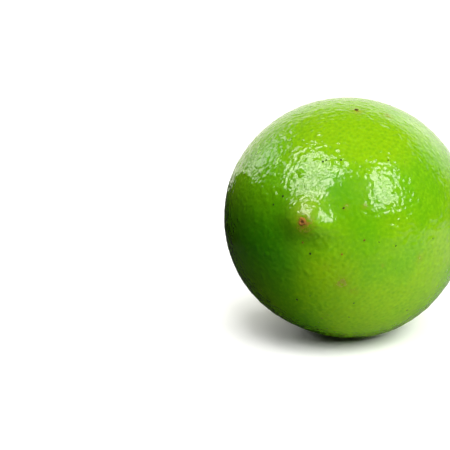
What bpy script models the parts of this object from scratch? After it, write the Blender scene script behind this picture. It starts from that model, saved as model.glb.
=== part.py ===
"""A whole Persian lime lying on its side, as one closed solid in metres with +Z up.

The fruit is a turned form with a low nipple at the blossom end and a shallow dimple at the stem end.
Its long axis lies in the Y-Z plane, with the blossom end towards -Y and a little above level. A few broad
swellings take it away from a true turned form, and it rests on a small flat spot at the height of the origin.
"""

import math

import bpy
from mathutils import Matrix, Vector

# Driving dimensions of the fruit
EQUATOR_DIAMETER = 0.0540
BLOSSOM_HALF_LENGTH = 0.0286  # from the centre to the blossom end, without its nipple
STEM_HALF_LENGTH = 0.0296  # from the centre to the rim of the stem end's dimple
NIPPLE_HEIGHT = 0.0019
NIPPLE_RADIUS = 0.0052
DIMPLE_DEPTH = 0.0009
DIMPLE_RADIUS = 0.0036

# How it lies
AXIS_RISE = math.radians(12)  # of the blossom end above level
REST_SPOT_DIAMETER = 0.0096

# Broad swellings: heading about +Z from +X, height above level, how far the skin stands out, and half width
SWELLINGS = {
    "right shoulder": (26, 32, 0.00036, 24),
    "left flank": (190, 20, 0.00020, 20),
    "left underside": (232, -64, -0.00052, 20),
    "right underside": (336, -60, 0.00018, 16),
    "far back": (100, 35, 0.00040, 32),
    "far hollow": (135, -20, -0.00030, 24),
}

# How finely it is faceted
PROFILE_STEPS = 34
TURN_STEPS = 60
END_CROWDING = 0.45  # how much closer the rings are at the two ends, from 0 to 1
MERGE_DISTANCE = 0.00001

PEEL_COLOUR = (0.190, 0.485, 0.014, 1.0)
PEEL_ROUGHNESS = 0.32


def clear_scene():
    for old in list(bpy.data.objects):
        bpy.data.objects.remove(old, do_unlink=True)


def new_collection(name):
    collection = bpy.data.collections.new(name)
    bpy.context.scene.collection.children.link(collection)
    return collection


def lime_peel_material():
    """Waxed green peel, smooth and a little glossy."""
    material = bpy.data.materials.new("lime_peel")
    material.use_nodes = True
    shader = material.node_tree.nodes["Principled BSDF"]
    shader.inputs["Base Color"].default_value = PEEL_COLOUR
    shader.inputs["Roughness"].default_value = PEEL_ROUGHNESS
    shader.inputs["Metallic"].default_value = 0.0
    return material


def mound(radius, foot):
    """A rounded mound of height 1, nearly flat on top, which has sunk to about a third at radius foot."""
    return math.exp(-((radius / foot) ** 3))


def profile_point(turn):
    """A point of the outline, from the blossom end at turn 0 to the stem end at turn pi, with +Z to the blossom."""
    radius = EQUATOR_DIAMETER / 2 * math.sin(turn)
    if turn < math.pi / 2:
        height = BLOSSOM_HALF_LENGTH * math.cos(turn) + NIPPLE_HEIGHT * mound(radius, NIPPLE_RADIUS)
    else:
        height = STEM_HALF_LENGTH * math.cos(turn) + DIMPLE_DEPTH * mound(radius, DIMPLE_RADIUS)
    return Vector((radius, 0, height))


def outline():
    """The outline from top to bottom, with its points closer together at the two ends."""
    points = []
    for step in range(PROFILE_STEPS + 1):
        share = step / PROFILE_STEPS
        crowded = share - END_CROWDING * math.sin(2 * math.pi * share) / (2 * math.pi)
        points.append(profile_point(math.pi * crowded))
    points[0].x = 0
    points[-1].x = 0
    return points


def turned_fruit():
    """The outline turned about +Z by a Screw modifier, as a plain mesh."""
    points = outline()
    edges = [(i, i + 1) for i in range(len(points) - 1)]
    line = bpy.data.meshes.new("lime_outline")
    line.from_pydata(points, edges, [])
    guide = bpy.data.objects.new("lime_outline", line)
    bpy.context.scene.collection.objects.link(guide)
    screw = guide.modifiers.new("turn", "SCREW")
    screw.steps = TURN_STEPS
    screw.render_steps = TURN_STEPS
    screw.use_merge_vertices = True
    screw.merge_threshold = MERGE_DISTANCE
    turned = guide.evaluated_get(bpy.context.evaluated_depsgraph_get())
    mesh = bpy.data.meshes.new_from_object(turned)
    bpy.data.objects.remove(guide, do_unlink=True)
    bpy.data.meshes.remove(line)
    mesh.name = "lime"
    return mesh


def heading(about, above):
    """The unit vector at an angle about +Z from +X and an angle above level, both in degrees."""
    about, above = math.radians(about), math.radians(above)
    level = math.cos(above)
    return Vector((level * math.cos(about), level * math.sin(about), math.sin(above)))


def stand_out(direction):
    """How far the swellings lift the skin in a direction from the centre."""
    lift = 0.0
    for about, above, height, width in SWELLINGS.values():
        away = direction.angle(heading(about, above)) / math.radians(width)
        lift += height * math.exp(-(away**2) / 2)
    return lift


def laid_down(mesh):
    """Tips the turned fruit onto its side and lifts its skin by the swellings."""
    mesh.transform(Matrix.Rotation(math.pi / 2 - AXIS_RISE, 4, "X"))
    for vertex in mesh.vertices:
        direction = vertex.co.normalized()
        vertex.co += direction * stand_out(direction)


def set_on_origin(mesh):
    """Puts the resting plane at height 0 and the middle of the outer box on the Z axis."""
    spot_radius = REST_SPOT_DIAMETER / 2
    ball_radius = EQUATOR_DIAMETER / 2
    cut_depth = ball_radius - math.sqrt(ball_radius**2 - spot_radius**2)
    xs, ys, zs = zip(*(vertex.co for vertex in mesh.vertices))
    middle = Vector(((min(xs) + max(xs)) / 2, (min(ys) + max(ys)) / 2, min(zs) + cut_depth))
    mesh.transform(Matrix.Translation(-middle))


def rest_cutter(collection):
    """A block below height 0, which takes the resting spot off the fruit."""
    bpy.ops.mesh.primitive_cube_add(size=EQUATOR_DIAMETER)
    cutter = bpy.context.object
    cutter.name = "rest_cutter"
    cutter.data.transform(Matrix.Translation((0, 0, -EQUATOR_DIAMETER / 2)))
    cutter.hide_render = True
    cutter.display_type = "WIRE"
    for other in list(cutter.users_collection):
        other.objects.unlink(cutter)
    collection.objects.link(cutter)
    return cutter


def build_lime(collection, cutters):
    mesh = turned_fruit()
    laid_down(mesh)
    set_on_origin(mesh)
    mesh.materials.append(lime_peel_material())
    mesh.shade_smooth()
    lime = bpy.data.objects.new("lime", mesh)
    collection.objects.link(lime)
    rest = lime.modifiers.new("rest_spot", "BOOLEAN")
    rest.operation = "DIFFERENCE"
    rest.solver = "EXACT"
    rest.object = rest_cutter(cutters)
    return lime


def main():
    clear_scene()
    parts = new_collection("lime")
    cutters = new_collection("lime_cutters")
    build_lime(parts, cutters)


main()
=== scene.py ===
"""Dresses the solid of a lime: its waxed peel with oil glands, its scars and specks, and its stem end."""

import math

import bmesh
import bpy
import numpy as np
from bpy.props import FloatProperty, FloatVectorProperty, IntProperty, PointerProperty, StringProperty
from mathutils import Matrix, Quaternion, Vector, noise
from mathutils.bvhtree import BVHTree


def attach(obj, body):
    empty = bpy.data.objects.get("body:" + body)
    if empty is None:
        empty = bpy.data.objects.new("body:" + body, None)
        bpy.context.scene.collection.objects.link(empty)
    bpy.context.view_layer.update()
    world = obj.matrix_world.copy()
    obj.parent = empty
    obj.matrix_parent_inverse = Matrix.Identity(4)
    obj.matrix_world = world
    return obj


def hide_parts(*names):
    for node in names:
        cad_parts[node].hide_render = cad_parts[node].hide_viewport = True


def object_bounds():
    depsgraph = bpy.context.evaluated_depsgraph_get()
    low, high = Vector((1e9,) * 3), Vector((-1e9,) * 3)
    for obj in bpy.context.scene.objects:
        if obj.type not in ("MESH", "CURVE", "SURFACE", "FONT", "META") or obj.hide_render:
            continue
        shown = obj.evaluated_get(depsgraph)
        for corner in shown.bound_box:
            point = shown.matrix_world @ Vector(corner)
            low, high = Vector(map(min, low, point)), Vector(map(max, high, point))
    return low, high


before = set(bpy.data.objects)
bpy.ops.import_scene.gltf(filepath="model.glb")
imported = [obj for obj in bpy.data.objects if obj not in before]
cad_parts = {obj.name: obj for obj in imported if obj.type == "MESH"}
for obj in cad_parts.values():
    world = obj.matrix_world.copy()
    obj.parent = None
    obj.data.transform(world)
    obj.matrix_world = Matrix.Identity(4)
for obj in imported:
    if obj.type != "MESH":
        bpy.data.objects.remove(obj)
CAD_LOW, CAD_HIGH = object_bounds()

bl_info = {
    "name": "Lime",
    "version": (1, 0, 0),
    "blender": (4, 5, 0),
    "location": "3D Viewport > Sidebar > Lime",
    "description": "Makes a whole lime's peel, scars, specks and stem end, and a plain stage for it",
    "category": "Object",
}

MM = 0.001

# Specks: heading about +Z from +X and height above level in degrees, size across in millimetres, how rusty
# the skin round it is, and how brown it is itself, both from 0 to 1
SPECKS = {
    "crown scab": (-60.4, 72.5, 1.0, 0.75, 0.2),
    "brow freckle": (-86.0, 38.0, 0.50, 0.0, 0.0),
    "brow freckle twin": (-84.5, 39.0, 0.42, 0.0, 0.0),
    "brow dot": (-76.6, 39.4, 0.48, 0.0, 0.0),
    "temple dot": (-50.1, 39.3, 0.42, 0.0, 0.1),
    "left cheek dot": (-102.5, 21.2, 0.60, 0.0, 0.0),
    "left cheek low dot": (-106.6, 17.1, 0.42, 0.0, 0.0),
    "bridge dot": (-74.2, 18.4, 0.55, 0.35, 0.1),
    "chin dot": (-87.6, -1.3, 0.50, 0.0, 0.0),
    "right cheek dot": (-59.0, 4.2, 0.35, 0.0, 0.0),
    "right cheek low dot": (-51.4, 2.0, 0.42, 0.0, 0.0),
    "far right dot": (-31.5, 2.7, 0.40, 0.0, 0.0),
    "rust dot": (-65.3, 5.1, 0.50, 0.3, 0.6),
    "dot under the nipple": (-90.7, 3.3, 0.48, 0.5, 0.8),
    "middle rust dot": (-74.4, -0.8, 0.50, 0.4, 1.0),
    "low left dot": (-96.1, -25.6, 0.55, 0.0, 0.0),
    "low left dot twin": (-88.9, -22.2, 0.35, 0.0, 0.0),
    "low middle dot": (-68.3, -25.2, 0.48, 0.0, 0.0),
    "low dot": (-70.1, -35.0, 0.42, 0.0, 0.3),
    "low dot left": (-84.9, -36.8, 0.38, 0.0, 0.6),
    "low dot right": (-36.0, -34.4, 0.45, 0.0, 0.2),
}

# Rusty patches without a speck: heading and height in degrees, size across in millimetres, and strength
RUST_PATCHES = {
    "round the scar": (-89.2, 11.0, 3.0, 0.95),
    "right of the scar": (-87.3, 11.2, 1.6, 0.8),
    "lower smudge": (-74.3, -14.1, 2.2, 0.7),
    "lower smudge tail": (-68.7, -18.3, 1.6, 0.4),
    "crown": (-23.5, 65.5, 2.0, 0.45),
    "crown halo": (-61.0, 71.3, 2.4, 0.5),
    "bridge": (-73.0, 19.0, 0.8, 0.8),
    "yellow dot": (-65.0, 19.4, 0.9, 0.5),
    "grey fleck": (-80.9, -6.7, 1.2, 0.2),
    "right smudge": (-38.5, -5.1, 1.6, 0.3),
    "right fleck": (-57.2, -6.4, 1.0, 0.25),
}

SCATTERED_SPECKS = 80  # on top of the named ones
NAMED_SIDE = (-72, 8)  # heading and height of the side whose larger specks all have names
TINY_SPECK = (0.16, 0.26)  # least and most width in millimetres, on the named side
SMALL_SPECK = (0.22, 0.5)  # the same, elsewhere
SPECK_FLATNESS = 0.22  # height over width

# Broad swellings, which the solid has too: heading and height in degrees, rise, and half width in degrees
SWELLINGS = (
    (26, 32, 0.36 * MM, 24),
    (190, 20, 0.20 * MM, 20),
    (232, -64, -0.52 * MM, 20),
    (336, -60, 0.18 * MM, 16),
    (100, 35, 0.40 * MM, 32),
    (135, -20, -0.30 * MM, 24),
)

# Furrows at the stem end
RIBS = 7
RIB_DEPTH = 0.22 * MM
RIB_RADIUS = 4.2 * MM  # distance from the axis at which they are deepest
RIB_SPREAD = 3.0 * MM

# Small lumps and hollows round the nipple: heading and height in degrees, rise and width in millimetres
LUMPS = (
    (-86.0, 10.4, 0.22, 1.3),
    (-82.6, 10.2, 0.30, 1.4),
    (-78.7, 9.8, 0.26, 1.5),
    (-90.0, 3.6, -0.60, 1.9),
    (-85.6, 4.6, -0.30, 1.6),
    (-97.0, 6.0, -0.15, 2.0),
)
NIPPLE_CAP = (0.5 * MM, 3.4 * MM)  # rise and radius of the steep cap that carries the scar

# How lively the relief is: heading and height in degrees, change, and half width in degrees
LIVELINESS = (
    (-54, 26, -0.05, 18),
    (-71, 27, -0.65, 14),
    (-90, 31, 0.28, 20),
    (-120, 38, 0.40, 20),
    (-10, 48, -0.40, 26),
    (60, 20, -0.15, 60),
    (-68, -34, -0.45, 32),
)

# Broad tones of the skin, partly painted light and shade: heading and height in degrees, how much yellower
# and lighter (or greener and darker, below 0), and half width. The patches on the top and the lower front are
# partly painted light; those on the left flank and its lower side are painted shade
PAINTED_LIGHT_SHADE_AND_TONES = (
    (-60, 66, 0.75, 30),
    (-70, -20, 0.50, 28),
    (-70, 24, -0.40, 20),
    (-117, 0, -0.9, 26),
    (-97, -7, -0.40, 13),
    (-98, -45, -0.35, 20),
    (-20, -15, 0.25, 25),
)
PALE_NIPPLE = (-90.5, 17.5, 6.5, 0.5)  # heading and height in degrees, width in millimetres, and strength

RIM_SOFTNESS = 0.05 * MM  # height over which the resting spot turns into the skin
RIM_FADE = 0.8 * MM  # height over which the relief comes in above it
BARE_SCAR = 1.6 * MM  # how far round the scar the skin has no relief
BARE_CALYX = 3.0 * MM

MOST_GLANDS = 4e6  # to the square metre: so many that only their spacing limits them
SHALLOWEST_GLAND = 0.35  # of the full depth
CREASE_ROUNDING = 0.0009  # square of the noise value below which a crease between pebbles is rounded
PEBBLE_MIDDLE = 0.1  # about the domed noise's mean, which leaves the skin where it was

# Widths of the patterns in the materials
CLOUD = 14 * MM  # patches that the sun turned yellow-green
FLECK = 0.7 * MM  # pith that shows through between the glands
RUST_CRUMB = 0.6 * MM
WAX_SMEAR = 3 * MM
SWELL = 1.8 * MM  # which puts the creases about 1 mm apart
SWELL_HEIGHT = 0.41 * MM
SCAB_CRUMB = 0.3 * MM

LIGHT_DISTANCE = 0.62  # in metres, from the fruit's centre to each window and soft box
FLOOR_SIDES = 128

# Windows: heading and height in degrees, columns and rows of panes, width of a pane and of the bars between
# them in metres, radiance, and lean in degrees
WINDOWS = {
    "window_left": (-116, 50, 3, 3, 0.126, 0.046, 9.2, 0),
    "window_right": (-23, 38, 2, 3, 0.106, 0.028, 9.2, -16),
}

# Soft boxes: heading and height in degrees, width and height in metres, radiance, and if the peel mirrors it
SOFT_BOXES = {
    "fill_left": (166, 27, 0.22, 0.30, 2.6, True),
    "fill_right": (68, 26, 0.45, 0.30, 0.7, True),
    "fill_front": (-46, 41, 0.50, 0.30, 6.4, False),
    "fill_top": (60, 82, 0.40, 0.40, 1.3, False),
    "fill_side": (10, 40, 0.50, 0.40, 1.8, False),
}

# The black card's folds: millimetres right of the fruit's centre, nearer than it, and up to the top edge
FLAG_FOLDS = ((-33, -8, 38), (-32, 15, 45), (-24, 58, 55))
FLAG_BOTTOM = 20 * MM

# Headings and heights in degrees of the room's parts
BRIGHT_WALL = (107.5, 14)
DIM_CORNER = (197.5, -12)
MIRRORED_WALL = (106.5, -8)  # the wall that reflections show brightest
FAR_FLOOR = (65, 0)


def length(name, description, metres):
    """A setting that is a length."""
    return FloatProperty(name=name, description=description, default=metres, unit="LENGTH")


def angle(name, description, degrees):
    """A setting that is an angle."""
    return FloatProperty(name=name, description=description, default=math.radians(degrees), subtype="ANGLE")


class LimeForm(bpy.types.PropertyGroup):
    """The fruit's driving sizes, which the solid has too."""

    equator: length("Equator", "Diameter across the axis", 0.054)
    blossom_half: length("Blossom half", "Centre to blossom end, without the nipple", 0.0286)
    stem_half: length("Stem half", "Centre to the rim of the stem dimple", 0.0296)
    nipple_height: length("Nipple height", "How far the nipple stands out", 0.0019)
    nipple_radius: length("Nipple radius", "Where the nipple has sunk to a third", 0.0052)
    dimple_depth: length("Dimple depth", "Depth of the stem end's dimple", 0.0009)
    dimple_radius: length("Dimple radius", "Where the dimple has risen by two thirds", 0.0036)
    axis_rise: angle("Axis rise", "Blossom end above level", 12)
    rest_spot: length("Resting spot", "Width of the flat spot it rests on", 0.0096)


class LimePeel(bpy.types.PropertyGroup):
    """The peel's relief and colours."""

    grid: IntProperty(
        name="Grid", description="Mesh squares along a quarter of the girth", default=128, min=8
    )
    gland_spacing: length("Gland spacing", "Least distance between two oil glands", 0.0009)
    gland_radius: length("Gland radius", "Radius of an oil gland's pit", 0.00042)
    gland_depth: length("Gland depth", "Depth of an oil gland's pit", 0.00005)
    pebble_size: length("Pebble size", "Size of the low, rounded pebbles of the skin", 0.0018)
    pebble_height: length("Pebble height", "How far the pebbles swell", 0.0004)
    dent_size: length("Dent size", "Length of the broad, shallow dents", 0.006)
    dent_depth: length("Dent depth", "Depth of the broad dents", 0.00018)
    seed: IntProperty(name="Seed", description="Picks where glands and specks fall", default=11)
    green: StringProperty(name="Green", description="The shaded skin's colour, sRGB", default="#508A00")
    lime: StringProperty(name="Yellow-green", description="The sunned skin's colour, sRGB", default="#6B9300")


class LimeStage(bpy.types.PropertyGroup):
    """The camera, the floor and the lights."""

    azimuth: angle("Azimuth", "Camera's heading round the fruit", 16.5)
    elevation: angle("Elevation", "Camera above level", 14.2)
    lens: FloatProperty(name="Lens", description="Focal length in millimetres", default=100.0)
    share: FloatProperty(
        name="Share", description="Fruit's radius as a share of the picture's width", default=0.266
    )
    beside: FloatProperty(
        name="Beside", description="Fruit's place right of the middle, in its own radii", default=1.006
    )
    above: FloatProperty(
        name="Above", description="Fruit's place above the middle, in its own radii", default=0.080
    )
    floor_size: length("Floor", "Width of the round floor", 0.6)
    room: FloatProperty(name="Room light", description="Brightness of the white room", default=0.7)


def heading(about, above):
    """The unit vector at an angle about +Z from +X and an angle above level, both in degrees."""
    about, above = math.radians(about), math.radians(above)
    level = math.cos(above)
    return np.array((level * math.cos(about), level * math.sin(about), math.sin(above)))


def colour(code):
    """A hex sRGB colour as the linear RGBA that shaders take."""
    channels = [int(code[i : i + 2], 16) / 255 for i in (1, 3, 5)]
    linear = [c / 12.92 if c <= 0.04045 else ((c + 0.055) / 1.055) ** 2.4 for c in channels]
    return (*linear, 1.0)


def add(tree, kind, feeds=None, **settings):
    """Adds a node with its settings, feeds its inputs with sockets or values, and returns its outputs."""
    node = tree.nodes.new(kind)
    node.location = (200 * (len(tree.nodes) % 12), -260 * (len(tree.nodes) // 12))
    for name, value in settings.items():
        setattr(node, name, value)
    for key, value in (feeds or {}).items():
        if isinstance(value, bpy.types.NodeSocket):
            tree.links.new(value, node.inputs[key])
        else:
            node.inputs[key].default_value = value
    return node.outputs


def new_tree(name, inputs):
    """A Geometry Nodes tree with the named inputs and one geometry output, and its input sockets."""
    tree = bpy.data.node_groups.new(name, "GeometryNodeTree")
    for label, kind in inputs.items():
        tree.interface.new_socket(label, in_out="INPUT", socket_type="NodeSocket" + kind)
    tree.interface.new_socket("Geometry", in_out="OUTPUT", socket_type="NodeSocketGeometry")
    return tree, add(tree, "NodeGroupInput")


def new_material(name, constants):
    """A material with these constants on its shader, its node tree, and the shader's inputs."""
    material = bpy.data.materials.new(name)
    material.use_nodes = True
    sockets = material.node_tree.nodes["Principled BSDF"].inputs
    for socket, value in constants.items():
        sockets[socket].default_value = value
    return material, material.node_tree, sockets


def new_object(name, mesh):
    """An object in the scene, at the origin."""
    piece = bpy.data.objects.new(name, mesh)
    bpy.context.scene.collection.objects.link(piece)
    return piece


def shaped(piece, tree, entry, values):
    """Runs a piece through a Geometry Nodes tree with these input values, and leaves plain mesh."""
    modifier = piece.modifiers.new(tree.name, "NODES")
    modifier.node_group = tree
    for name, value in values.items():
        modifier[entry[name].identifier] = value
    evaluated = piece.evaluated_get(bpy.context.evaluated_depsgraph_get())
    mesh = bpy.data.meshes.new_from_object(evaluated)
    piece.modifiers.clear()
    old, piece.data = piece.data, mesh
    bpy.data.meshes.remove(old)
    mesh.name = piece.name
    return piece


def points_of(mesh):
    """A mesh's vertices as an array."""
    flat = np.empty(len(mesh.vertices) * 3, np.float32)
    mesh.vertices.foreach_get("co", flat)
    return flat.reshape(-1, 3).astype(float)


def finished(piece):
    """Rides the piece on the fruit's one body, in place of its plain solid."""
    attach(piece, "root")
    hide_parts("lime")


# ---------------- form


def fruit_axis(form):
    """Unit vector from the centre to the blossom end."""
    return np.array((0.0, -math.cos(form.axis_rise), math.sin(form.axis_rise)))


def angle_from(outward, about, above):
    """The angle between each unit vector and a heading and a height."""
    return np.arccos(np.clip(outward @ heading(about, above), -1, 1))


def fruit_form(directions, form):
    """The fruit's surface in each unit direction: the turned form, laid down, with its broad swellings."""
    axis = fruit_axis(form)
    along = directions @ axis
    across = directions - along[:, None] * axis
    girth = np.linalg.norm(across, axis=1)
    radius = form.equator / 2 * girth
    nipple = form.nipple_height * np.exp(-((radius / form.nipple_radius) ** 3))
    dimple = form.dimple_depth * np.exp(-((radius / form.dimple_radius) ** 3))
    height = np.where(along > 0, form.blossom_half * along + nipple, form.stem_half * along + dimple)
    points = height[:, None] * axis + form.equator / 2 * across
    outward = points / np.linalg.norm(points, axis=1)[:, None]
    lift = np.zeros(len(points))
    for about, above, rise, width in SWELLINGS:
        away = angle_from(outward, about, above) / math.radians(width)
        lift += rise * np.exp(-(away**2) / 2)
    return points + outward * lift[:, None]


def stem_ribs(points, form):
    """Shallow furrows that run out from the stem end and fade."""
    axis = fruit_axis(form)
    along = points @ axis
    across = points - along[:, None] * axis
    radius = np.linalg.norm(across, axis=1)
    side = np.array((1.0, 0.0, 0.0))
    turn = np.arctan2(across @ np.cross(axis, side), across @ side)
    wander = 1.4 * np.sin(2 * turn + 0.6)
    ribs = 0.5 + 0.5 * np.cos(RIBS * turn + wander)
    fade = np.exp(-(((radius - RIB_RADIUS) / RIB_SPREAD) ** 2)) * (along < 0)
    depth = RIB_DEPTH * ribs * fade
    return points + axis * depth[:, None]


def form_box(points, form):
    """The form's lowest and highest corners, once the flat resting spot is taken off a ball of its width."""
    ball = form.equator / 2
    low, high = points.min(0), points.max(0)
    low[2] += ball - math.sqrt(ball**2 - (form.rest_spot / 2) ** 2)
    return low, high


def fit_to_solid(points, form):
    """Moves and scales the form to the solid's own box, and presses its lowest part flat on the floor."""
    low, high = form_box(points, form)
    share = (points - low) / (high - low)
    fitted = np.array(CAD_LOW) + share * (np.array(CAD_HIGH) - np.array(CAD_LOW))
    z = fitted[:, 2]
    pressed = RIM_SOFTNESS * np.logaddexp(0, np.clip(z / RIM_SOFTNESS, -60, 60))
    fitted[:, 2] = np.where(z > 20 * RIM_SOFTNESS, z, pressed)
    return fitted


def fruit_centre(form):
    """Centre of the turned form in the row frame."""
    around = np.array([heading(a, e) for a in range(0, 360, 4) for e in range(-88, 90, 4)])
    low, high = form_box(fruit_form(around, form), form)
    return np.array(CAD_LOW) - low * (np.array(CAD_HIGH) - np.array(CAD_LOW)) / (high - low)


def even_ball(grid, material):
    """A cube of square faces blown up to a ball whose squares are nearly even, from Geometry Nodes."""
    tree, entry = new_tree("even_ball", {"Grid": "Int", "Material": "Material"})
    count = entry["Grid"]
    cube = add(
        tree,
        "GeometryNodeMeshCube",
        {"Size": (2, 2, 2), "Vertices X": count, "Vertices Y": count, "Vertices Z": count},
    )
    place = add(tree, "GeometryNodeInputPosition")
    turn = add(tree, "ShaderNodeVectorMath", {0: place[0], 3: math.pi / 4}, operation="SCALE")
    spread = add(tree, "ShaderNodeVectorMath", {0: turn[0]}, operation="TANGENT")
    ball = add(tree, "ShaderNodeVectorMath", {0: spread[0]}, operation="NORMALIZE")
    moved = add(tree, "GeometryNodeSetPosition", {"Geometry": cube["Mesh"], "Position": ball[0]})
    whole = add(tree, "GeometryNodeMergeByDistance", {"Geometry": moved[0], "Distance": 1e-5})
    real = add(tree, "GeometryNodeRealizeInstances", {"Geometry": whole[0]})[0]
    dressed = add(tree, "GeometryNodeSetMaterial", {"Geometry": real, "Material": entry["Material"]})[0]
    add(tree, "NodeGroupOutput", {"Geometry": dressed})
    piece = new_object("peel", bpy.data.meshes.new("peel"))
    return shaped(piece, tree, entry, {"Grid": grid + 1, "Material": material})


def outward_from(points, centre):
    """Unit vectors from the centre to each point, and how far away each one is."""
    outward = points - centre
    reach = np.linalg.norm(outward, axis=1)
    return outward / reach[:, None], reach


def marks_on(points, centre, marks):
    """How strongly each point is coloured by a set of marks, from 0 to 1."""
    outward, reach = outward_from(points, centre)
    strength = np.zeros(len(points))
    for about, above, width, share in marks:
        away = angle_from(outward, about, above) * reach / (0.55 * width * MM)
        strength = np.maximum(strength, share * np.exp(-(away**2)))
    return strength


def with_lumps(points, centre, form):
    """Raises the nipple's steep cap and the small lumps and hollows round it."""
    outward, reach = outward_from(points, centre)
    lift = np.zeros(len(points))
    for about, above, rise, width in LUMPS:
        away = angle_from(outward, about, above) * reach / (width * MM)
        lift += rise * MM * np.exp(-(away**2) / 2)
    rise, foot = NIPPLE_CAP
    tip = centre + fruit_axis(form) * (form.blossom_half + form.nipple_height)
    away = np.linalg.norm(points - tip, axis=1)
    lift += rise * np.exp(-((away / foot) ** 3))
    return points + outward * lift[:, None]


def relief_share(points, centre, form):
    """How much relief the skin has: none on the resting spot and under the scars, and varied elsewhere."""
    share = np.clip((points[:, 2] - RIM_SOFTNESS) / RIM_FADE, 0, 1)
    outward, _ = outward_from(points, centre)
    for about, above, change, width in LIVELINESS:
        away = angle_from(outward, about, above) / math.radians(width)
        share *= 1 + change * np.exp(-(away**2))
    axis = fruit_axis(form)
    tip = form.blossom_half + form.nipple_height
    for end, width in ((tip, BARE_SCAR), (-form.stem_half, BARE_CALYX)):
        away = np.linalg.norm(points - (centre + axis * end), axis=1)
        share *= 1 - np.exp(-((away / width) ** 4))
    return share


def painted_light_shade_and_tones_at(points, centre):
    """How much yellower and lighter each point is, or greener and darker where it is below 0, from the broad
    tones, which are partly painted light and painted shade.
    """
    outward, _ = outward_from(points, centre)
    tone = np.zeros(len(points))
    for about, above, change, width in PAINTED_LIGHT_SHADE_AND_TONES:
        tone += change * np.exp(-((angle_from(outward, about, above) / math.radians(width)) ** 2))
    return tone


def store(mesh, name, values):
    """Keeps a value for each point of a mesh, for its material or its nodes."""
    attribute = mesh.attributes.new(name, "FLOAT", "POINT")
    attribute.data.foreach_set("value", values.astype(np.float32))


def peel_relief(sizes):
    """Geometry Nodes that press oil glands into the peel and crumple it, with an input for each size."""
    inputs = {"Geometry": "Geometry", **{name: "Float" for name in sizes}}
    tree, entry = new_tree("peel_relief", {**inputs, "Seed": "Int", "Material": "Material"})
    skin = entry["Geometry"]
    place = add(tree, "GeometryNodeInputPosition")[0]

    # One pit for each gland, some deeper than others
    glands = add(
        tree,
        "GeometryNodeDistributePointsOnFaces",
        {
            "Mesh": skin,
            "Distance Min": entry["Gland Spacing"],
            "Density Max": MOST_GLANDS,
            "Seed": entry["Seed"],
        },
        distribute_method="POISSON",
    )["Points"]
    gap = add(
        tree, "GeometryNodeProximity", {0: glands, "Sample Position": place}, target_element="POINTS"
    )["Distance"]
    nearest = add(tree, "GeometryNodeSampleNearest", {"Geometry": glands, "Sample Position": place})[0]
    chance = add(
        tree,
        "FunctionNodeRandomValue",
        {2: SHALLOWEST_GLAND, 3: 1.0, "ID": nearest, "Seed": 3},
        data_type="FLOAT",
    )[1]
    near = add(tree, "ShaderNodeMath", {0: gap, 1: entry["Gland Radius"]}, operation="DIVIDE")[0]
    squared = add(tree, "ShaderNodeMath", {0: near, 1: near}, operation="MULTIPLY")[0]
    minus = add(tree, "ShaderNodeMath", {0: squared, 1: -1.0}, operation="MULTIPLY")[0]
    pit = add(tree, "ShaderNodeMath", {0: minus}, operation="EXPONENT")[0]
    gland = add(tree, "ShaderNodeMath", {0: pit, 1: chance}, operation="MULTIPLY")[0]
    sunk = add(tree, "ShaderNodeMath", {0: gland, 1: entry["Gland Depth"]}, operation="MULTIPLY")[0]

    # Rounded pebbles with creases between them, and broad dents
    pebble_scale = add(tree, "ShaderNodeMath", {0: 1.0, 1: entry["Pebble Size"]}, operation="DIVIDE")[0]
    wave = add(
        tree,
        "ShaderNodeTexNoise",
        {"Vector": place, "Scale": pebble_scale, "Detail": 1.0, "Roughness": 0.5, "Distortion": 0.3},
    )[0]
    wave_mid = add(tree, "ShaderNodeMath", {0: wave, 1: 0.5}, operation="SUBTRACT")[0]
    wave_square = add(
        tree, "ShaderNodeMath", {0: wave_mid, 1: wave_mid, 2: CREASE_ROUNDING}, operation="MULTIPLY_ADD"
    )[0]
    domed = add(tree, "ShaderNodeMath", {0: wave_square}, operation="SQRT")[0]
    pebble_mid = add(tree, "ShaderNodeMath", {0: domed, 1: PEBBLE_MIDDLE}, operation="SUBTRACT")[0]
    pebbles = add(tree, "ShaderNodeMath", {0: pebble_mid, 1: entry["Pebble Height"]}, operation="MULTIPLY")[0]
    dent_scale = add(tree, "ShaderNodeMath", {0: 1.0, 1: entry["Dent Size"]}, operation="DIVIDE")[0]
    dent = add(tree, "ShaderNodeTexNoise", {"Vector": place, "Scale": dent_scale, "Detail": 1.0})[0]
    dent_mid = add(tree, "ShaderNodeMath", {0: dent, 1: 0.5}, operation="SUBTRACT")[0]
    dents = add(tree, "ShaderNodeMath", {0: dent_mid, 1: entry["Dent Depth"]}, operation="MULTIPLY")[0]
    waves = add(tree, "ShaderNodeMath", {0: pebbles, 1: dents}, operation="ADD")[0]
    relief = add(tree, "ShaderNodeMath", {0: waves, 1: sunk}, operation="SUBTRACT")[0]

    # The relief fades on the resting spot and under the scars
    free = add(tree, "GeometryNodeInputNamedAttribute", {"Name": "free"}, data_type="FLOAT")[0]
    lift = add(tree, "ShaderNodeMath", {0: relief, 1: free}, operation="MULTIPLY")[0]
    normal = add(tree, "GeometryNodeInputNormal")[0]
    offset = add(tree, "ShaderNodeVectorMath", {0: normal, 3: lift}, operation="SCALE")[0]
    marked = add(
        tree,
        "GeometryNodeStoreNamedAttribute",
        {"Geometry": skin, "Name": "gland", "Value": gland},
        data_type="FLOAT",
        domain="POINT",
    )[0]
    moved = add(tree, "GeometryNodeSetPosition", {"Geometry": marked, "Offset": offset})[0]
    smooth = add(tree, "GeometryNodeSetShadeSmooth", {"Geometry": moved})[0]
    real = add(tree, "GeometryNodeRealizeInstances", {"Geometry": smooth})[0]
    dressed = add(tree, "GeometryNodeSetMaterial", {"Geometry": real, "Material": entry["Material"]})[0]
    add(tree, "NodeGroupOutput", {"Geometry": dressed})
    return tree, entry


# ---------------- materials


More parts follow.
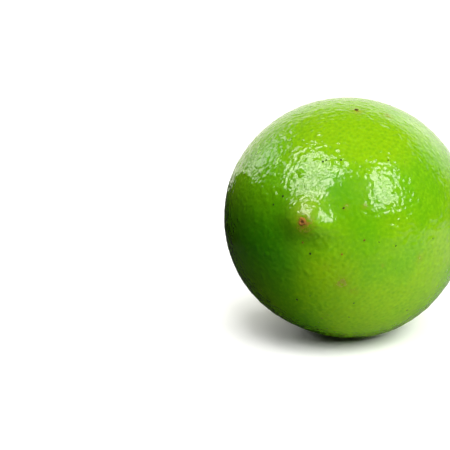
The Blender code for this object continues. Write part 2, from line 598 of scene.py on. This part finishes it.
def waxed_lime_peel(look):
    """Lime peel, waxed and brushed at the packing house: bright highlights that the creases break up."""
    constants = {
        "IOR": 1.46,
        "Specular IOR Level": 0.8,
        "Specular Tint": (1.0, 0.87, 0.86, 1.0),
        "Subsurface Weight": 0.12,
        "Subsurface Radius": (0.7, 1.0, 0.15),
        "Subsurface Scale": 1.2 * MM,
    }
    material, tree, shader = new_material("waxed_lime_peel", constants)
    place = add(tree, "ShaderNodeTexCoord")["Object"]
    sunned_and_painted_light, shaded, pale, gland, rust, free = (
        add(tree, "ShaderNodeAttribute", attribute_name=name)["Fac"]
        for name in ("sunned_and_painted_light", "shaded", "pale", "gland", "rust", "free")
    )

    # Sun and shade on the tree leave clouds of yellow-green; the broad yellower, lighter patches added to
    # them on the top and the lower front are partly painted light
    cloud = add(tree, "ShaderNodeTexNoise", {"Vector": place, "Scale": 1 / CLOUD, "Detail": 3.0})[0]
    clouds = add(tree, "ShaderNodeMapRange", {"Value": cloud, "From Min": 0.35, "From Max": 0.68})[0]
    yellow = add(tree, "ShaderNodeMath", {0: clouds, 1: sunned_and_painted_light}, operation="ADD", use_clamp=True)[0]
    sides = {0: yellow, 6: colour(look.green), 7: colour(look.lime)}
    even = add(tree, "ShaderNodeMix", sides, data_type="RGBA")[2]

    # The pith between the glands shows through as paler flecks. Over them the greener tones mix in deep
    # green: painted shade on the left flank and its lower side, and greener skin elsewhere
    fleck = add(tree, "ShaderNodeTexNoise", {"Vector": place, "Scale": 1 / FLECK, "Detail": 2.0})[0]
    flecks = add(
        tree, "ShaderNodeMapRange", {"Value": fleck, "From Min": 0.45, "From Max": 0.75, "To Max": 0.24}
    )[0]
    paler = add(tree, "ShaderNodeMix", {0: flecks, 6: even, 7: colour("#88BC10")}, data_type="RGBA")[2]
    # Painted shade: the left flank and its lower side darkened to deep green
    deep = add(tree, "ShaderNodeMix", {0: shaded, 6: paler, 7: colour("#246E00")}, data_type="RGBA")[2]
    skin = add(tree, "ShaderNodeMix", {0: pale, 6: deep, 7: colour("#80901C")}, data_type="RGBA")[2]

    # Oil shows through the thin skin over each gland as a darker dot
    oily = add(tree, "ShaderNodeMath", {0: gland, 1: 0.55}, operation="MULTIPLY")[0]
    dotted = add(tree, "ShaderNodeMix", {0: oily, 6: skin, 7: colour("#447C00")}, data_type="RGBA")[2]

    # Rusty scars where the young skin was rubbed, broken up by the glands
    crumb = add(tree, "ShaderNodeTexNoise", {"Vector": place, "Scale": 1 / RUST_CRUMB, "Detail": 3.0})[0]
    crumbs = add(tree, "ShaderNodeMapRange", {"Value": crumb, "From Min": 0.35, "From Max": 0.6})[0]
    rusty = add(tree, "ShaderNodeMath", {0: rust, 1: crumbs}, operation="MULTIPLY")[0]
    scarred = add(tree, "ShaderNodeMix", {0: rusty, 6: dotted, 7: colour("#7E5000")}, data_type="RGBA")[2]
    tree.links.new(scarred, shader["Base Color"])

    # Wax lies unevenly, thinner on the scars
    smear = add(tree, "ShaderNodeTexNoise", {"Vector": place, "Scale": 1 / WAX_SMEAR, "Detail": 2.0})[0]
    waxed = add(tree, "ShaderNodeMapRange", {"Value": smear, "To Min": 0.12, "To Max": 0.16})[0]
    dull = add(tree, "ShaderNodeMath", {0: rusty, 1: 0.5}, operation="MULTIPLY")[0]
    rough = add(tree, "ShaderNodeMath", {0: waxed, 1: dull}, operation="ADD")[0]
    tree.links.new(rough, shader["Roughness"])

    # The skin swells over its glands and creases between them
    swell = add(tree, "ShaderNodeTexNoise", {"Vector": place, "Scale": 1 / SWELL, "Detail": 1.5})[0]
    swell_mid = add(tree, "ShaderNodeMath", {0: swell, 1: 0.5}, operation="SUBTRACT")[0]
    crease = add(tree, "ShaderNodeMath", {0: swell_mid}, operation="ABSOLUTE")[0]
    rounded = add(tree, "ShaderNodeMath", {0: crease, 1: 0.01}, operation="SMOOTH_MAX")[0]
    swelling = add(tree, "ShaderNodeMath", {0: rounded, 1: free}, operation="MULTIPLY")[0]
    bump = add(tree, "ShaderNodeBump", {"Height": swelling, "Strength": 1.0, "Distance": SWELL_HEIGHT})[0]
    tree.links.new(bump, shader["Normal"])
    return material


def crumbly(name, crumb_size, detail, patchy, outside, inside, bump_strength, bump_depth, constants):
    """Dry, crumbly matter that goes unevenly from one colour at its rim to another in its middle."""
    material, tree, shader = new_material(name, constants)
    place = add(tree, "ShaderNodeTexCoord")["Object"]
    middle = add(tree, "ShaderNodeAttribute", attribute_name="middle")["Fac"]
    crumb = add(tree, "ShaderNodeTexNoise", {"Vector": place, "Scale": 1 / crumb_size, "Detail": detail})[0]
    spread = {"Value": crumb, "From Min": 0.3, "From Max": 0.7, "To Min": -patchy, "To Max": patchy}
    uneven = add(tree, "ShaderNodeMapRange", spread)[0]
    depth = add(tree, "ShaderNodeMath", {0: middle, 1: uneven}, operation="ADD", use_clamp=True)[0]
    tones = {0: depth, 6: colour(outside), 7: colour(inside)}
    tone = add(tree, "ShaderNodeMix", tones, data_type="RGBA")[2]
    tree.links.new(tone, shader["Base Color"])
    relief = {"Height": crumb, "Strength": bump_strength, "Distance": bump_depth}
    bump = add(tree, "ShaderNodeBump", relief)[0]
    tree.links.new(bump, shader["Normal"])
    return material


def corky_scar():
    """Dry cork where the style fell off: matt, rust-brown in a ring with a dark, sunken middle."""
    matt = {"Roughness": 0.75, "Specular IOR Level": 0.2}
    return crumbly("corky_scar", 0.35 * MM, 3.0, 0.3, "#80581C", "#381C04", 0.6, 0.06 * MM, matt)


def dried_calyx():
    """The dried calyx left at the stem end: woody, grey-brown with green where it still meets the peel."""
    dry = {"Roughness": 0.7}
    return crumbly("dried_calyx", 0.7 * MM, 4.0, 0.35, "#7C8038", "#6B5130", 0.7, 0.15 * MM, dry)


def dry_speck():
    """Dead skin over a gland that a fungus or an insect spoiled: nearly black and dull."""
    material, tree, shader = new_material("dry_speck", {"Roughness": 0.8, "Specular IOR Level": 0.2})
    place = add(tree, "ShaderNodeTexCoord")["Object"]
    crumb = add(tree, "ShaderNodeTexNoise", {"Vector": place, "Scale": 1 / SCAB_CRUMB, "Detail": 2.0})[0]
    shade = add(tree, "ShaderNodeMapRange", {"Value": crumb, "From Min": 0.35, "From Max": 0.65})[0]
    darks = {0: shade, 6: colour("#0A1203"), 7: colour("#1E2206")}
    dark = add(tree, "ShaderNodeMix", darks, data_type="RGBA")[2]
    brown = add(tree, "ShaderNodeAttribute", attribute_name="brown")["Fac"]
    speck = add(tree, "ShaderNodeMix", {0: brown, 6: dark, 7: colour("#6A4200")}, data_type="RGBA")[2]
    tree.links.new(speck, shader["Base Color"])
    return material


def white_floor(right):
    """Matt white laminate sweep: an even, bright ground that takes a soft shadow."""
    material, tree, shader = new_material("white_floor", {"Roughness": 0.6, "Specular IOR Level": 0.1})
    place = add(tree, "ShaderNodeTexCoord")["Object"]

    # The fruit gets less light from the floor on its left, as though something dark stood there
    aside = add(tree, "ShaderNodeVectorMath", {0: place, 1: right}, operation="DOT_PRODUCT")["Value"]
    open_side = add(
        tree,
        "ShaderNodeMapRange",
        {"Value": aside, "From Min": -23 * MM, "From Max": 12 * MM},
        interpolation_type="SMOOTHSTEP",
    )[0]
    bounces = {0: open_side, 6: colour("#606060"), 7: colour("#FFFFFF")}
    bounce = add(tree, "ShaderNodeMix", bounces, data_type="RGBA")[2]

    # The peel mirrors the floor only where it lies behind the fruit and to its right
    far = Vector(heading(*FAR_FLOOR))
    away = add(tree, "ShaderNodeVectorMath", {0: place, 1: far}, operation="DOT_PRODUCT")["Value"]
    clear = add(tree, "ShaderNodeMapRange", {"Value": away, "From Min": -45 * MM, "From Max": 90 * MM})[0]
    mirror_side = add(tree, "ShaderNodeMath", {0: open_side, 1: clear}, operation="MULTIPLY")[0]
    mirrors = {0: mirror_side, 6: colour("#0A0A0A"), 7: colour("#A8A8A2")}
    mirror = add(tree, "ShaderNodeMix", mirrors, data_type="RGBA")[2]

    path = add(tree, "ShaderNodeLightPath")
    grounds = {0: path["Is Diffuse Ray"], 6: colour("#FCFCFA"), 7: bounce}
    lit = add(tree, "ShaderNodeMix", grounds, data_type="RGBA")[2]
    white = add(tree, "ShaderNodeMix", {0: path["Is Glossy Ray"], 6: lit, 7: mirror}, data_type="RGBA")[2]
    tree.links.new(white, shader["Base Color"])
    return material


def black_flock():
    """Black flocked card: takes nearly all light that falls on it."""
    return new_material("black_flock", {"Base Color": colour("#101210"), "Roughness": 0.9})[0]


# ---------------- pieces


def skin_tree():
    """The finished peel, ready to be asked where its surface is."""
    build = bmesh.new()
    build.from_mesh(bpy.data.objects["peel"].data)
    tree = BVHTree.FromBMesh(build)
    build.free()
    return tree


def surface_at(tree, centre, direction):
    """Where the peel is in a direction from the fruit's centre, and its normal there."""
    towards = Vector(direction)
    place, normal, _, _ = tree.ray_cast(Vector(centre), towards)
    if place is None:
        place, normal, _, _ = tree.find_nearest(Vector(centre) + towards * CAD_HIGH[0])
    return place, normal


def button(name, rings, spokes, outline, height, middle):
    """A small round cap, closed underneath, whose radius, rise and tone come from three functions."""
    points, tones = [(0, 0, height(0, 0))], [middle(0, 0)]
    for ring in range(1, rings + 1):
        share = ring / rings
        for spoke in range(spokes):
            turn = 2 * math.pi * spoke / spokes
            radius = outline(turn) * share
            points.append((radius * math.cos(turn), radius * math.sin(turn), height(turn, share)))
            tones.append(middle(turn, share))
    faces = [(0, 1 + s, 1 + (s + 1) % spokes) for s in range(spokes)]
    for ring in range(rings - 1):
        first = 1 + ring * spokes
        for s in range(spokes):
            t = (s + 1) % spokes
            faces.append((first + s, first + spokes + s, first + spokes + t, first + t))
    faces.append(tuple(1 + (rings - 1) * spokes + s for s in reversed(range(spokes))))
    mesh = bpy.data.meshes.new(name)
    mesh.from_pydata(points, [], faces)
    store(mesh, "middle", np.array(tones))
    mesh.shade_smooth()
    return mesh


def set_on(form, direction, mesh, sink, material):
    """Stands a small mesh on the peel in a direction from the centre, a little sunk in, and finishes it."""
    place, normal = surface_at(skin_tree(), fruit_centre(form), direction)
    turned = normal.to_track_quat("Z", "Y").to_matrix().to_4x4()
    mesh.transform(Matrix.Translation(place - normal * sink) @ turned)
    mesh.materials.append(material)
    finished(new_object(mesh.name, mesh))


class OBJECT_OT_lime_peel(bpy.types.Operator):
    """Make the peel, with its form, oil glands, crumples and rusty marks"""

    bl_idname = "object.lime_peel"
    bl_label = "Peel"

    def execute(self, context):
        form, look = context.scene.lime_form, context.scene.lime_peel
        wax = waxed_lime_peel(look)
        peel = even_ball(look.grid, wax)
        directions = points_of(peel.data)
        directions /= np.linalg.norm(directions, axis=1)[:, None]
        points = stem_ribs(fruit_form(directions, form), form)
        centre = fruit_centre(form)
        points = with_lumps(fit_to_solid(points, form), centre, form)
        peel.data.vertices.foreach_set("co", points.astype(np.float32).ravel())
        rust = [mark[:4] for mark in SPECKS.values()] + list(RUST_PATCHES.values())
        store(peel.data, "rust", marks_on(points, centre, rust))
        store(peel.data, "free", relief_share(points, centre, form))
        # Yellower, lighter patches, partly painted light, and greener, darker ones, painted shade on the left
        # flank
        tone = painted_light_shade_and_tones_at(points, centre)
        store(peel.data, "sunned_and_painted_light", np.clip(tone, 0, 1))
        store(peel.data, "shaded", np.clip(-tone, 0, 1))
        store(peel.data, "pale", marks_on(points, centre, [PALE_NIPPLE]))
        sizes = {
            "Gland Spacing": look.gland_spacing,
            "Gland Radius": look.gland_radius,
            "Gland Depth": look.gland_depth,
            "Pebble Size": look.pebble_size,
            "Pebble Height": look.pebble_height,
            "Dent Size": look.dent_size,
            "Dent Depth": look.dent_depth,
        }
        finished(shaped(peel, *peel_relief(sizes), {**sizes, "Seed": look.seed, "Material": wax}))
        return {"FINISHED"}


class OBJECT_OT_lime_style_scar(bpy.types.Operator):
    """Make the corky scar on the nipple, where the style fell off"""

    bl_idname = "object.lime_style_scar"
    bl_label = "Style scar"

    def execute(self, context):
        form = context.scene.lime_form

        def outline(turn):
            return (0.95 + 0.10 * math.cos(3 * turn + 0.7) + 0.06 * math.cos(5 * turn + 2)) * MM

        def height(turn, share):
            ring = math.exp(-(((share - 0.6) / 0.2) ** 2))
            crumb = 0.05 * noise.noise(Vector((3 * share * math.cos(turn), 3 * share * math.sin(turn), 0)))
            return (0.20 + 0.16 * ring + crumb - 0.30 * share**4) * MM

        def middle(turn, share):
            return math.exp(-((share / 0.36) ** 2)) + 0.6 * max(0.0, math.cos(turn + 0.8)) * share**2

        mesh = button("style_scar", 8, 36, outline, height, middle)
        set_on(form, fruit_axis(form), mesh, 0.04 * MM, corky_scar())
        return {"FINISHED"}


class OBJECT_OT_lime_calyx(bpy.types.Operator):
    """Make the dried calyx with its five worn lobes and the round scar of the stalk"""

    bl_idname = "object.lime_calyx"
    bl_label = "Calyx"

    def execute(self, context):
        form = context.scene.lime_form

        def outline(turn):
            lobes = abs(math.cos(2.5 * turn)) ** 0.7
            return (2.15 + 0.75 * lobes + 0.12 * math.cos(turn + 1) + 0.08 * math.cos(3 * turn)) * MM

        def height(turn, share):
            stalk = 0.30 * math.exp(-(((share - 0.42) / 0.1) ** 2)) - 0.25 * math.exp(-((share / 0.3) ** 2))
            crease = 0.10 * abs(math.sin(2.5 * turn)) * share
            crumb = 0.10 * noise.noise(Vector((5 * share * math.cos(turn), 5 * share * math.sin(turn), 0)))
            return (0.62 + stalk - crease + crumb - 0.35 * share**3) * MM

        def middle(turn, share):
            return 1 / (1 + math.exp((share - 0.6) * 12))

        mesh = button("calyx", 16, 80, outline, height, middle)
        set_on(form, -fruit_axis(form), mesh, 0.15 * MM, dried_calyx())
        return {"FINISHED"}


def speck_tree():
    """Geometry Nodes that set a flat, ragged scab on each point of a cloud, turned to the skin."""
    inputs = {"Geometry": "Geometry", "Flatness": "Float", "Seed": "Int", "Material": "Material"}
    tree, entry = new_tree("skin_specks", inputs)
    scab = add(tree, "GeometryNodeMeshIcoSphere", {"Radius": 0.5, "Subdivisions": 2})["Mesh"]
    thin = add(tree, "ShaderNodeCombineXYZ", {0: 1.0, 1: 1.0, 2: entry["Flatness"]})[0]
    flat = add(tree, "GeometryNodeTransform", {"Geometry": scab, "Scale": thin})[0]
    outward = add(tree, "GeometryNodeInputNamedAttribute", {"Name": "outward"}, data_type="FLOAT_VECTOR")[0]
    across = add(tree, "GeometryNodeInputNamedAttribute", {"Name": "across"}, data_type="FLOAT")[0]
    upright = add(tree, "FunctionNodeAlignRotationToVector", {"Vector": outward}, axis="Z")[0]
    turns = {2: 0.0, 3: 2 * math.pi, "Seed": entry["Seed"]}
    spin = add(tree, "FunctionNodeRandomValue", turns, data_type="FLOAT")[1]
    about = add(tree, "ShaderNodeCombineXYZ", {2: spin})[0]
    turned = add(tree, "FunctionNodeEulerToRotation", {0: about})[0]
    both = add(tree, "FunctionNodeRotateRotation", {0: upright, 1: turned}, rotation_space="LOCAL")[0]
    oval = add(tree, "FunctionNodeRandomValue", {2: 0.65, 3: 1.0, "Seed": 5}, data_type="FLOAT")[1]
    narrow = add(tree, "ShaderNodeMath", {0: across, 1: oval}, operation="MULTIPLY")[0]
    size = add(tree, "ShaderNodeCombineXYZ", {0: across, 1: narrow, 2: across})[0]
    scabs = add(
        tree,
        "GeometryNodeInstanceOnPoints",
        {"Points": entry["Geometry"], "Instance": flat, "Rotation": both, "Scale": size},
    )[0]
    real = add(tree, "GeometryNodeRealizeInstances", {"Geometry": scabs})[0]
    place = add(tree, "GeometryNodeInputPosition")[0]
    ragged = add(
        tree, "ShaderNodeTexNoise", {"Vector": place, "Scale": 1 / SCAB_CRUMB, "Detail": 1.0}
    )["Color"]
    centred = add(tree, "ShaderNodeVectorMath", {0: ragged, 1: (0.5, 0.5, 0.5)}, operation="SUBTRACT")[0]
    torn = add(tree, "ShaderNodeVectorMath", {0: centred, 3: 0.16 * MM}, operation="SCALE")[0]
    rough = add(tree, "GeometryNodeSetPosition", {"Geometry": real, "Offset": torn})[0]
    smooth = add(tree, "GeometryNodeSetShadeSmooth", {"Geometry": rough})[0]
    dressed = add(tree, "GeometryNodeSetMaterial", {"Geometry": smooth, "Material": entry["Material"]})[0]
    add(tree, "NodeGroupOutput", {"Geometry": dressed})
    return tree, entry


def speck_points(skin, centre, seed):
    """Place, normal, width and brownness of each speck: the named ones, and a thin scatter all over."""
    chance = np.random.default_rng(seed)
    found = []
    for about, above, width, _, brown in SPECKS.values():
        place, normal = surface_at(skin, centre, heading(about, above))
        found.append((place, normal, width * MM, brown))
    named_side = heading(*NAMED_SIDE)
    while len(found) < len(SPECKS) + SCATTERED_SPECKS:
        direction = chance.normal(size=3)
        direction /= np.linalg.norm(direction)
        least, most = TINY_SPECK if direction @ named_side > 0.35 else SMALL_SPECK
        width = chance.uniform(least, most) * MM
        brown = chance.uniform(0, 0.8)
        if direction[2] < -0.9:  # the resting spot and its rim
            continue
        place, normal = surface_at(skin, centre, direction)
        found.append((place, normal, width, brown))
    return found


class OBJECT_OT_lime_specks(bpy.types.Operator):
    """Make the dark specks on the skin"""

    bl_idname = "object.lime_specks"
    bl_label = "Specks"

    def execute(self, context):
        form, look = context.scene.lime_form, context.scene.lime_peel
        found = speck_points(skin_tree(), fruit_centre(form), look.seed)
        places, normals, widths, browns = zip(*found)
        mesh = bpy.data.meshes.new("specks")
        mesh.from_pydata(places, [], [])
        outward = mesh.attributes.new("outward", "FLOAT_VECTOR", "POINT")
        outward.data.foreach_set("vector", [x for normal in normals for x in normal])
        store(mesh, "across", np.array(widths))
        store(mesh, "brown", np.array(browns))
        values = {"Flatness": SPECK_FLATNESS, "Seed": look.seed, "Material": dry_speck()}
        finished(shaped(new_object("specks", mesh), *speck_tree(), values))
        return {"FINISHED"}


# ---------------- stage


def soft_box(name, centre, about, above, width, height, radiance, lean=0.0):
    """A softbox that faces the fruit, and leans by an angle in degrees about the line between them."""
    light = bpy.data.lights.new(name, "AREA")
    light.shape = "RECTANGLE"
    light.size = width
    light.size_y = height
    light.energy = radiance * math.pi * width * height
    lamp = new_object(name, light)
    direction = Vector(heading(about, above))
    lamp.location = Vector(centre) + direction * LIGHT_DISTANCE
    facing = direction.to_track_quat("Z", "Y")
    lamp.rotation_euler = (facing @ Quaternion((0, 0, 1), math.radians(lean))).to_euler()
    return lamp


def window(name, centre, about, above, columns, rows, pane, bar, radiance, lean):
    """A window seen from the fruit: square panes with bars between them, all facing the same way."""
    facing = Vector(heading(about, above)).to_track_quat("Z", "Y")
    facing = facing @ Quaternion((0, 0, 1), math.radians(lean))
    for row in range(rows):
        for column in range(columns):
            lamp = soft_box(f"{name}_{row}_{column}", centre, about, above, pane, pane, radiance, lean)
            step = Vector((column - (columns - 1) / 2, row - (rows - 1) / 2, 0))
            lamp.location += facing @ step * (pane + bar)


def white_room(strength):
    """A white room that is lit from above and behind, with a dim front and a dimmer lower left corner."""
    world = bpy.data.worlds.new("white_room")
    bpy.context.scene.world = world
    world.use_nodes = True
    tree = world.node_tree
    background = tree.nodes["Background"]
    direction = add(tree, "ShaderNodeTexCoord")["Generated"]
    ways = [Vector(heading(*way)) for way in (BRIGHT_WALL, DIM_CORNER, MIRRORED_WALL)]
    wall, corner, mirrored_wall = (
        add(tree, "ShaderNodeVectorMath", {0: direction, 1: way}, operation="DOT_PRODUCT")["Value"]
        for way in ways
    )
    bright = add(
        tree,
        "ShaderNodeMapRange",
        {"Value": wall, "From Min": -0.35, "From Max": 0.8, "To Min": 0.08 * strength, "To Max": strength},
        interpolation_type="SMOOTHSTEP",
    )[0]
    dimming = {"Value": corner, "From Min": 0.2, "From Max": 0.8, "To Min": 1.0, "To Max": 0.1}
    dim = add(tree, "ShaderNodeMapRange", dimming)[0]
    lit = add(tree, "ShaderNodeMath", {0: bright, 1: dim}, operation="MULTIPLY")[0]

    # Reflections show only the wall behind, and the camera sees an even white
    mirrored = add(
        tree,
        "ShaderNodeMapRange",
        {"Value": mirrored_wall, "From Min": 0.45, "From Max": 0.9, "To Min": 0.06, "To Max": 1.2},
        interpolation_type="SMOOTHSTEP",
    )[0]
    path = add(tree, "ShaderNodeLightPath")
    soft = add(tree, "ShaderNodeMix", {0: path["Is Glossy Ray"], 2: lit, 3: mirrored}, data_type="FLOAT")[0]
    power = add(tree, "ShaderNodeMix", {0: path["Is Camera Ray"], 2: soft, 3: 1.3}, data_type="FLOAT")[0]
    tree.links.new(power, background.inputs["Strength"])
    background.inputs["Color"].default_value = (1, 1, 0.86, 1)


def round_floor(width, right):
    """A flat, round floor at the height of the resting spot."""
    rim = [2 * math.pi * k / FLOOR_SIDES for k in range(FLOOR_SIDES)]
    edge = [(width / 2 * math.cos(turn), width / 2 * math.sin(turn), 0) for turn in rim]
    mesh = bpy.data.meshes.new("floor")
    mesh.from_pydata(edge, [], [tuple(range(FLOOR_SIDES))])
    mesh.materials.append(white_floor(right))
    new_object("floor", mesh)


def black_flag(centre, right, near):
    """A folded black card that keeps light off the fruit's left flank; the camera doesn't see it."""
    foot = Vector((centre.x, centre.y, 0))
    spots = [foot + (right * aside + near * towards) * MM for aside, towards, _ in FLAG_FOLDS]
    low = Vector((0, 0, FLAG_BOTTOM))
    tops = [spot + Vector((0, 0, top * MM)) for spot, (_, _, top) in zip(spots, FLAG_FOLDS)]
    mesh = bpy.data.meshes.new("black_flag")
    mesh.from_pydata([spot + low for spot in spots] + tops, [], [(0, 1, 4, 3), (1, 2, 5, 4)])
    mesh.materials.append(black_flock())
    flag = new_object("black_flag", mesh)
    flag.visible_camera = False


def camera_on(stage, centre, right, radius):
    """The camera, at its angle, with the fruit as large and as far off the middle as the settings say."""
    data = bpy.data.cameras.new("camera")
    data.lens = stage.lens
    camera = new_object("camera", data)
    spread = stage.share * data.sensor_width / data.lens
    distance = radius / math.sin(math.atan(spread))
    a, e = stage.azimuth, stage.elevation
    back = Vector((math.sin(a) * math.cos(e), -math.cos(a) * math.cos(e), math.sin(e)))
    up = back.cross(right)
    aim = centre - right * radius * stage.beside - up * radius * stage.above
    camera.location = centre + back * distance
    camera.rotation_euler = (camera.location - aim).to_track_quat("Z", "Y").to_euler()
    return camera


class SCENE_OT_lime_stage(bpy.types.Operator):
    """Make the white floor, the soft lights and the camera"""

    bl_idname = "scene.lime_stage"
    bl_label = "Stage"

    def execute(self, context):
        stage, form = context.scene.lime_stage, context.scene.lime_form
        centre = Vector(fruit_centre(form))
        right = Vector((math.cos(stage.azimuth), math.sin(stage.azimuth), 0))
        near = Vector((math.sin(stage.azimuth), -math.cos(stage.azimuth), 0))
        round_floor(stage.floor_size, right)
        black_flag(centre, right, near)
        white_room(stage.room)
        for name, window_facts in WINDOWS.items():
            window(name, centre, *window_facts)
        for name, (*box_facts, mirrored) in SOFT_BOXES.items():
            soft_box(name, centre, *box_facts).visible_glossy = mirrored
        context.scene.camera = camera_on(stage, centre, right, form.equator / 2)
        context.scene.view_settings.view_transform = "Standard"
        return {"FINISHED"}


class VIEW3D_PT_lime(bpy.types.Panel):
    """Lists what makes the lime"""

    bl_label = "Lime"
    bl_idname = "VIEW3D_PT_lime"
    bl_space_type = "VIEW_3D"
    bl_region_type = "UI"
    bl_category = "Lime"

    def draw(self, context):
        for operator in PIECES:
            self.layout.operator(operator.bl_idname)


PIECES = (
    OBJECT_OT_lime_peel,
    OBJECT_OT_lime_style_scar,
    OBJECT_OT_lime_calyx,
    OBJECT_OT_lime_specks,
    SCENE_OT_lime_stage,
)
SETTINGS = {"lime_form": LimeForm, "lime_peel": LimePeel, "lime_stage": LimeStage}


def register():
    for name, group in SETTINGS.items():
        bpy.utils.register_class(group)
        setattr(bpy.types.Scene, name, PointerProperty(type=group))
    for operator in PIECES:
        bpy.utils.register_class(operator)
    bpy.utils.register_class(VIEW3D_PT_lime)


def unregister():
    bpy.utils.unregister_class(VIEW3D_PT_lime)
    for operator in reversed(PIECES):
        bpy.utils.unregister_class(operator)
    for name, group in SETTINGS.items():
        delattr(bpy.types.Scene, name)
        bpy.utils.unregister_class(group)


def main():
    register()
    bpy.ops.object.lime_peel()
    bpy.ops.object.lime_style_scar()
    bpy.ops.object.lime_calyx()
    bpy.ops.object.lime_specks()
    bpy.ops.scene.lime_stage()


if __name__ == "__main__":
    main()
